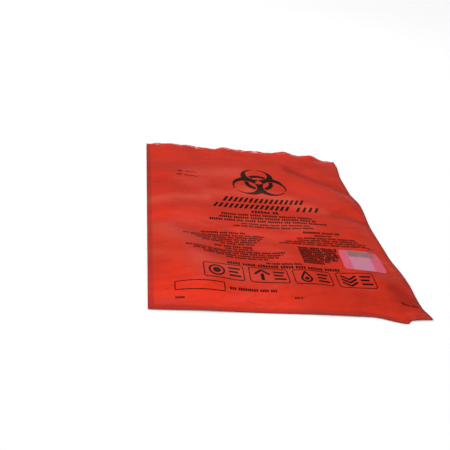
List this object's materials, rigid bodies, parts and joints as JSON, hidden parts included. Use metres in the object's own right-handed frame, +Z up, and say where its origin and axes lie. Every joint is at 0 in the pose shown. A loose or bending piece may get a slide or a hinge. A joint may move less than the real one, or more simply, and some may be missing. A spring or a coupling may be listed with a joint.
{
  "type": "biohazard waste bag",
  "caption": "Flat heat-sealed film pouch for clinical waste, open along its top edge, printed with a trefoil hazard sign, with a stuck-on indicator label.",
  "frame": {"origin": "on the floor, under the middle of the bag's outline as it lies", "axes": "+Z up off the floor, +Y from the sealed bottom towards the open mouth, +X across the bag towards the side with the label, all as seen from above"},
  "size_m": [0.491, 0.625, 0.0212],
  "materials": {
    "bag_film": "thin glossy polypropylene film, orange-red, slightly see-through, softly creased, with a fine embossed weld along its seals",
    "indicator_label": "thin stuck-on label, pink and pale lilac bands, satin",
    "print_ink": "near-black ink printed on the film, thin in places"
  },
  "bodies": {
    "root": {"bag_film": "bag_film", "indicator_label": "indicator_label"}
  },
  "joints": []
}
